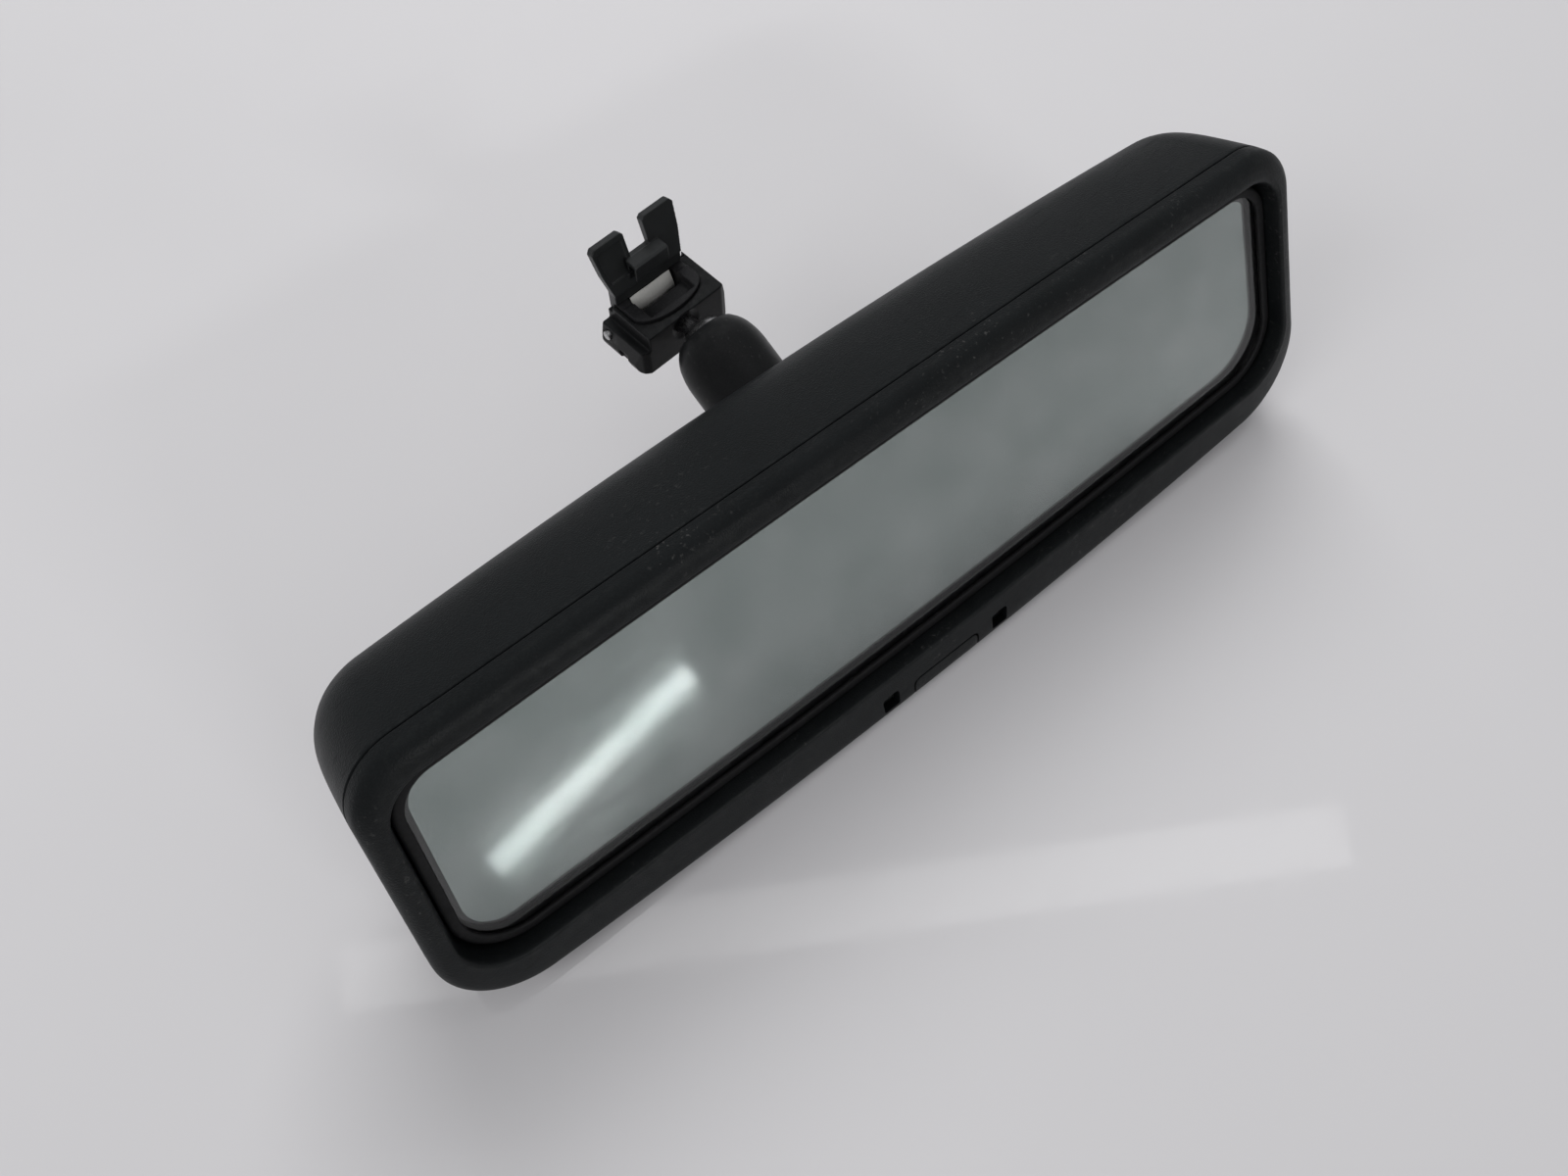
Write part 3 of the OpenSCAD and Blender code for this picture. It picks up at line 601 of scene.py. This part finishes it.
for side, look, cad in ((-1, "led", "status_light"), (1, "lens", "glare_sensor")):
    x = CX + side * WDX
    w = prism(cad + "_lens", rounded([(x - 2.0, -CHIN + 3.9), (x + 2.0, -CHIN + 3.9), (x + 2.25, -CHIN + 7.3),
                                      (x - 2.25, -CHIN + 7.3)], 0.5), -2.3, -1.2, "Y", look, matrix=M_HEAD)
    soften(w, 0.25, 3)
    guide = rounded([(x - 1.5, -38.6), (x + 1.5, -38.6), (x + 1.5, -36.2), (x - 1.5, -36.2)], 0.4)
    body = prism(cad + "_guide", guide, -1.3, 2.65, "Y", look, matrix=M_HEAD)
    soften(body, 0.15)
    for p in (w, body):
        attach(p, "head")
        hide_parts(cad)

# ---------------------------------------------------------------- head: mirror cell and lip
GLASS = [0, 116, 26.9, -28, 9, 12, 0.9, 2]


def pane(name, mat, y0, y1, d, cad, slot, arris=0.25):
    """A flat plate with the glass outline grown by d, and a small arris round both faces."""
    rows = [grow(GLASS, d - arris, y0), grow(GLASS, d, y0 + arris),
            grow(GLASS, d, y1 - arris), grow(GLASS, d - arris, y1)]
    rings = [[(x, o[0], z) for x, z in outline(o)] for o in rows]
    n = len(rings[0])
    verts = [p for r in rings for p in r]
    faces = [(j * n + i, j * n + (i + 1) % n, (j + 1) * n + (i + 1) % n, (j + 1) * n + i)
             for j in range(len(rings) - 1) for i in range(n)]
    faces += [tuple(range(n)), tuple(range(4 * n - 1, 3 * n - 1, -1))]
    return make(name, verts, faces, mat, M_HEAD, "head", [cad], slot, smooth=False)


pane("front_pane", "pane", 0.0, 2.0, 1.3, "front_glass", "tinted_glass")
pane("mirror_pane", "mirror", 2.3, 4.3, 1.25, "rear_glass", "mirror")
# the soft lip's section: y, and distance outside the glass outline
lip = [[-0.45, 0.0], [-0.72, 0.05], [-0.86, 0.3], [-0.9, 0.7], [-0.9, 1.5], [-0.84, 1.95], [-0.66, 2.3],
       [-0.3, 2.45], [0.2, 2.48], [4.4, 2.48], [4.4, 1.36], [-0.05, 1.36], [-0.05, 0.05], [-0.2, 0.0]]
verts, faces = rings_mesh([level(grow(GLASS, d, y)) for y, d in lip], loop=True)
gasket = make("lip_seal", verts, faces, "rubber", M_HEAD, "head", ["glass_gasket"], "seal")
sharp(gasket, 60)

# ---------------------------------------------------------------- arm
# ball seat radius, bore radius, and the angle where the seat meets the mouth
SEAT, BORE, MOUTH = 7.25, 9.7, math.radians(57)
end = [(6.15, 4.02), (6.5, 4.2), (7.1, 4.18), (7.6, 3.85), (8.2, 3.1), (8.8, 2.3), (9.35, 1.35), (9.8, 0.3),
       (10.12, -0.8), (10.38, -1.9), (10.55, -3.0), (10.68, -4.2), (10.74, -5.4)]
seat = [(SEAT * math.sin(a), SEAT * math.cos(a))
        for a in (math.pi / 2 - (math.pi / 2 - MOUTH) * i / 8 for i in range(9))]
prof = [(BORE, 0)] + seat + end
tube = prof + [(r, -ARM - z) for r, z in reversed(prof)]
turn = [2 * math.pi * i / 144 for i in range(144)]
verts, faces = rings_mesh([[(r * math.cos(t), r * math.sin(t), z) for t in turn] for r, z in tube], loop=True)
arm = make("arm_tube", verts, faces, "arm", M_ARM, "arm", ["stem_tube"], "arm_paint")
sharp(arm, 45)
wear_and_highlight_on(arm, M_ARM, lambda p: 0.08 * near(math.hypot(p.x, p.y), 9.6, 0.8))
DIP = math.radians(2)       # how far the foot's stud points down
M_FSTUD = M_ROW @ Matrix.Translation(BALL_FOOT) @ Matrix.Rotation(-math.pi / 2 - DIP, 4, "X")
R_BALL = 7.2


def ball_stud(name, tail, matrix, body, cad, neck=2.5):
    """A ball with a neck; tail carries the profile on from the neck."""
    prof = [(R_BALL * math.cos(a), R_BALL * math.sin(a)) for a in (math.radians(-90 + 3 * i) for i in range(53))]
    prof = [(0, -R_BALL)] + prof[1:] + [(neck + 0.25, 7.0), (neck, 7.5)] + tail
    o = lathe(name, prof, "steel", 72, matrix=matrix, body=body, nodes=[cad], slot="steel")
    sharp(o, 40)
    return o


ball_stud("foot_stud", [(2.5, 13.6), (2.2, 14), (2.2, 18.6), (0, 18.7)], M_FSTUD, "foot", "foot_ball_stud")
ball_stud("head_stud", [(2.5, 12.3), (2.9, 12.7), (5.8, 13.0), (6, 13.2), (6, 15.0), (4, 15.15), (4, 25.7),
                        (3.7, 26), (0, 26)], M_STUD, "head_stud", "head_ball_stud")

# ---------------------------------------------------------------- foot
def cast(o, voxel=0.22, rounds=6):
    """Rounds every edge a little, as on a casting or a moulding: a fine remesh, then smoothing."""
    md = o.modifiers.new("v", "REMESH")
    md.mode = "VOXEL"
    md.voxel_size = voxel * MM
    md.use_smooth_shade = True
    apply_mods(o)
    md = o.modifiers.new("s", "SMOOTH")
    md.factor = 0.5
    md.iterations = rounds
    apply_mods(o)
    for p in o.data.polygons:
        p.use_smooth = True


def blockp(lo, hi, name="tool"):
    """A block between two corners, in the row's frame."""
    x0, y0, z0 = lo
    x1, y1, z1 = hi
    return prism(name, [(x0, y0), (x1, y0), (x1, y1), (x0, y1)], z0, z1, "Z", "inner")


def ball_tool(at, r, seg=48):
    prof = [(r * math.cos(a), r * math.sin(a)) for a in (math.pi * i / 32 - math.pi / 2 for i in range(33))]
    prof[0], prof[-1] = (0, -r), (0, r)
    return lathe("tool", prof, "inner", seg, matrix=M_ROW @ Matrix.Translation(at))


def rod_tool(at, axis, r, length):
    m = M_ROW @ Matrix.Translation(at) @ Vector(axis).to_track_quat("Z", "Y").to_matrix().to_4x4()
    return lathe("tool", [(0, 0), (r, 0), (r, length), (0, length)], "inner", 40, matrix=m)


def boat(d, bw=10.0):
    """The insert's plan, grown by d: straight at the back and rounded towards the arm."""
    return [(bw + d, 5 + d), (-bw - d, 5 + d)] + [
        ((bw + d) * math.cos(a), -1.5 - (5.5 + d) * (-math.sin(a)) ** 0.8 if math.sin(a) < 0 else -1.5)
        for a in (math.pi + math.pi * i / 40 for i in range(1, 40))]


# the foot's height, and its half width at the bottom and the top
FH, FHW, FTW = 12, 14.4, 12.4
front = [(-FHW, -FH + 1.6), (-FHW + 0.6, -FH - 0.4), (-FHW + 2.4, -FH - 1), (FHW - 2.4, -FH - 1),
         (FHW - 0.6, -FH - 0.4), (FHW, -FH + 1.6), (FTW, -0.9), (-FTW, -0.9)]
body = prism("foot_block", rounded(front, 0.5), -8.95, 5.95, "Y", "foot")
above = [(-FHW, 6), (-FHW, -6), (-FHW + 1.2, -8.2), (-FHW + 3, -9), (FHW - 3, -9), (FHW - 1.2, -8.2), (FHW, -6),
         (FHW, 6)]
plan = prism("plan", rounded(above, 0.8), -FH - 2, 3, "Z", "inner")
boolean(body, [plan], "INTERSECT")
pocket = prism("pocket", boat(0.05), -6.3, 3, "Z", "inner")
boolean(body, [pocket, ball_tool(BALL_FOOT, 10.9), blockp((-20, -10, -5.2), (-11.1, 7, 3)),
               blockp((-12.2, 4.2, -2.4), (12.2, 7, 3)), blockp((-6.8, -0.5, -8.2), (6.8, 4.1, 3)),
               rod_tool((0, 1.8, -14), (0, 0, 1), 1.4, 7),
               blockp((-FHW - 1, -3.4, -FH - 2), (-FHW + 1.2, -0.4, -FH + 2.6)),
               rod_tool((-20, 3.5, -7.5), (1, 0, 0), 1.2, 32)])
cast(body, 0.2, 5)
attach(body, "foot")
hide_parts("foot_body")
wear_and_highlight_on(body, M_ROW, lambda p: 0.15 * near(p.z, -1.1, 0.25)
        + 0.8 * math.exp(-((p.x + 14.2) ** 2 + (p.y - 2.5) ** 2 + (p.z + 8) ** 2) / 3))

insert = prism("foot_boat", boat(0), -6.2, -0.02, "Z", "inner")
boolean(insert, [blockp((-6.8, -5, -2), (6.8, -0.4, 1)), blockp((-6.8, -0.5, -7), (6.8, 4.1, 1)),
                 blockp((-11, 4.2, -2.4), (11, 7, 2)), blockp((-11, 1.1, -0.4), (11, 7, 2)),
                 ball_tool(BALL_FOOT, 7.5), rod_tool(BALL_FOOT, (0, math.cos(DIP), -math.sin(DIP)), 2.75, 20)])
cast(insert, 0.16, 4)
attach(insert, "foot")
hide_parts("foot_insert")
wear_and_highlight_on(insert, M_ROW, lambda p: 0)

# latch plate: two ears with sunk faces, the web between them, the seat in the foot and the bent centre tab
M_EAR = M_ROW @ Matrix.Translation((0, 5.1, 2.5)) @ Matrix.Rotation(math.radians(-17), 4, "X")
plate_bits = []
for s in (1, -1):
    pts = [(s * 2.85, -0.4), (s * 10.2, -0.4), (s * 11.5, 6.0), (s * 12.1, 12.4), (s * 11.3, 13.4), (s * 3.6, 13.4),
           (s * 2.85, 12.7)]
    ear = rounded(pts, [0, 0, 1, 0.6, 0.6, 0.4, 0.4])
    plate_bits.append(prism("ear", ear, -2.08, 0, "Y", "latch", matrix=M_EAR))
plate_bits.append(prism("web", [(-3, -0.4), (3, -0.4), (3, 6.4), (-3, 6.4)], -2.08, 0, "Y", "latch", matrix=M_EAR))
plate_bits.append(blockp((-10.2, 3.4, -0.38), (10.2, 5.98, 3.1)))
plate_bits.append(blockp((-10.2, 4.3, -2.38), (10.2, 5.98, 0)))
hook = [(4.9, 2.4), (4.9, 9.55), (4.4, 10.25), (1.5, 10.25), (0.95, 9.75), (0.95, 5.65), (1.7, 5.55), (1.8, 9.2),
        (3.3, 9.1), (3.6, 8.6), (3.6, 2.4)]
plate_bits.append(prism("tab", rounded(hook, 0.2), -4.98, 4.98, "X", "latch"))
plate = plate_bits[0]
plate.name = "latch_plate_sheet"
boolean(plate, plate_bits[1:], "UNION")
sunk = [(3.9, 3.2), (10.1, 3.2), (11.1, 8), (11.2, 11.8), (3.9, 11.8)]
boolean(plate, [prism("sunk", rounded([(s * x, z) for x, z in sunk], 0.6), -2.6, -1.7, "Y", "latch", matrix=M_EAR)
                for s in (1, -1)])
cast(plate, 0.14, 4)
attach(plate, "foot")
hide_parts("latch_plate")

# leaf spring: a thin crimped strip with a torn-looking toothed lower edge
LW = 12.3           # the strip's width
prof = [(3.0, -0.35), (2.4, -1.75), (1.85, -3.0), (1.5, -4.0), (1.4, -4.8), (1.65, -5.5), (2.0, -5.8)]
nx = 60
verts, faces = [], []
for side in (0, 1):
    for j, (y, z) in enumerate(prof):
        for i in range(nx + 1):
            x = -LW / 2 + LW * i / nx
            u = j / (len(prof) - 1)
            tooth = 0.6 * noise.noise(Vector((x * 0.9, 3.1, 0))) + 0.4 * abs(math.sin(x * 1.7))
            crown = 0.35 * (x / (LW / 2)) ** 2
            verts.append((x, y + crown + 0.16 * side, z + tooth * u * u - 0.5 * (x / (LW / 2)) ** 4 * (1 - u)))
row = nx + 1
half = len(prof) * row
for side in (0, 1):
    for j in range(len(prof) - 1):
        for i in range(nx):
            a = side * half + j * row + i
            faces.append((a, a + 1, a + row + 1, a + row))
last = len(prof) - 1
rim = ([i for i in range(row)] + [j * row + nx for j in range(1, len(prof))]
       + [last * row + i for i in range(nx - 1, -1, -1)] + [j * row for j in range(last - 1, 0, -1)])
for a, b in zip(rim, rim[1:] + rim[:1]):
    faces.append((a, b, b + half, a + half))
leaf = make("leaf_strip", verts, faces, "bright", M_ROW, "foot", ["leaf_spring"], "bright_sheet")
sharp(leaf, 50)
pin = lathe("cross_pin", [(0, 0), (0.95, 0), (1.15, 0.2), (1.15, 25.4), (0.95, 25.6), (0, 25.6)], "steel", 40,
            matrix=M_ROW @ Matrix.Translation((-FHW - 0.2, 3.5, -7.5)) @ Matrix.Rotation(math.pi / 2, 4, "Y"),
            body="foot", nodes=["spring_pin"], slot="steel")
sharp(pin, 40)

# ---------------------------------------------------------------- floor, light and camera
m, nt, sh = material("table_top")
cloud = tex(nt, 3, 4, 0.5)
col = mix(nt, ramp(nt, cloud, 0.3, 0.7, 0, 1), (0.605, 0.598, 0.61), (0.645, 0.637, 0.65))
nt.links.new(col, sh.inputs["Base Color"])
nt.links.new(ramp(nt, tex(nt, 60, 4, 0.6, stretch=(1, 3, 1)), 0.4, 0.7, 0.5, 0.6), sh.inputs["Roughness"])
sh.inputs["Specular IOR Level"].default_value = 0.1
sh.inputs["Coat Weight"].default_value = 1.0
nt.links.new(ramp(nt, tex(nt, 60, 4, 0.6, stretch=(1, 3, 1)), 0.42, 0.72, 0.045, 0.09), sh.inputs["Coat Roughness"])
bump(nt, sh, (tex(nt, 12, 2, 0.4), 0.00015))
me = bpy.data.meshes.new("table")
FLOOR = -0.0473
me.from_pydata([(-3, -3, FLOOR), (3, -3, FLOOR), (3, 3, FLOOR), (-3, 3, FLOOR)], [], [(0, 1, 2, 3)])
table = bpy.data.objects.new("table", me)
scene.collection.objects.link(table)
me.materials.append(m)

world = bpy.data.worlds.new("studio")
world.use_nodes = True
world.node_tree.nodes["Background"].inputs[0].default_value = (0.93, 0.93, 0.95, 1)
world.node_tree.nodes["Background"].inputs[1].default_value = 0.38
scene.world = world


def panel(name, size, power):
    """A rectangular light, not yet placed."""
    d = bpy.data.lights.new(name, "AREA")
    d.shape = "RECTANGLE"
    d.size, d.size_y = size
    d.energy = power
    o = bpy.data.objects.new(name, d)
    scene.collection.objects.link(o)
    return o


def area(name, at, target, size, power):
    """A soft light at one place, facing another."""
    o = panel(name, size, power)
    at, target = Vector(at), Vector(target)
    o.location = at
    o.rotation_euler = (target - at).to_track_quat("-Z", "Y").to_euler()
    return o


for lamp in (area("key", (0.45, 0.55, 0.85), (0, 0, 0), (0.7, 0.45), 8.0),
             area("fill", (-1.6, 0.2, 1.1), (0, -0.05, 0), (1.2, 0.8), 11)):
    lamp.visible_glossy = False


def tube_light(name, a, b, width, power):
    """A long lamp from a to b that faces the mirror."""
    a, b = Vector(a), Vector(b)
    o = panel(name, ((b - a).length, width), power)
    mid = (a + b) / 2
    x = (b - a).normalized()
    z = (mid - Vector((-0.08, -0.15, -0.03))).normalized()
    y = z.cross(x).normalized()
    z = x.cross(y)
    o.matrix_world = Matrix.Translation(mid) @ Matrix((x, y, z)).transposed().to_4x4()


tube_light("ceiling_tube", (-0.288, -1.452, 0.66), (0.104, -1.512, 0.604), 0.035, 4.3)
tube_light("window_strip", (-0.33, 0.41, 1.25), (0.72, -0.37, 1.25), 0.08, 0.5)

CAM = Vector((-0.11375, -0.15665, 0.220))
right, fwd = Vector((0.7104, -0.7038, 0)), Vector((0.32056, 0.32383, -0.89015))
cam_data = bpy.data.cameras.new("view")
cam_data.sensor_width = 36
cam_data.lens = 27.675
cam_data.clip_start = 0.01
cam = bpy.data.objects.new("view", cam_data)
scene.collection.objects.link(cam)
fwd.normalize()
right = (right - fwd * right.dot(fwd)).normalized()
up = right.cross(fwd)
cam.matrix_world = Matrix.Translation(CAM) @ Matrix((right, up, -fwd)).transposed().to_4x4()
scene.camera = cam
scene.view_settings.view_transform = "Standard"
bpy.context.view_layer.update()
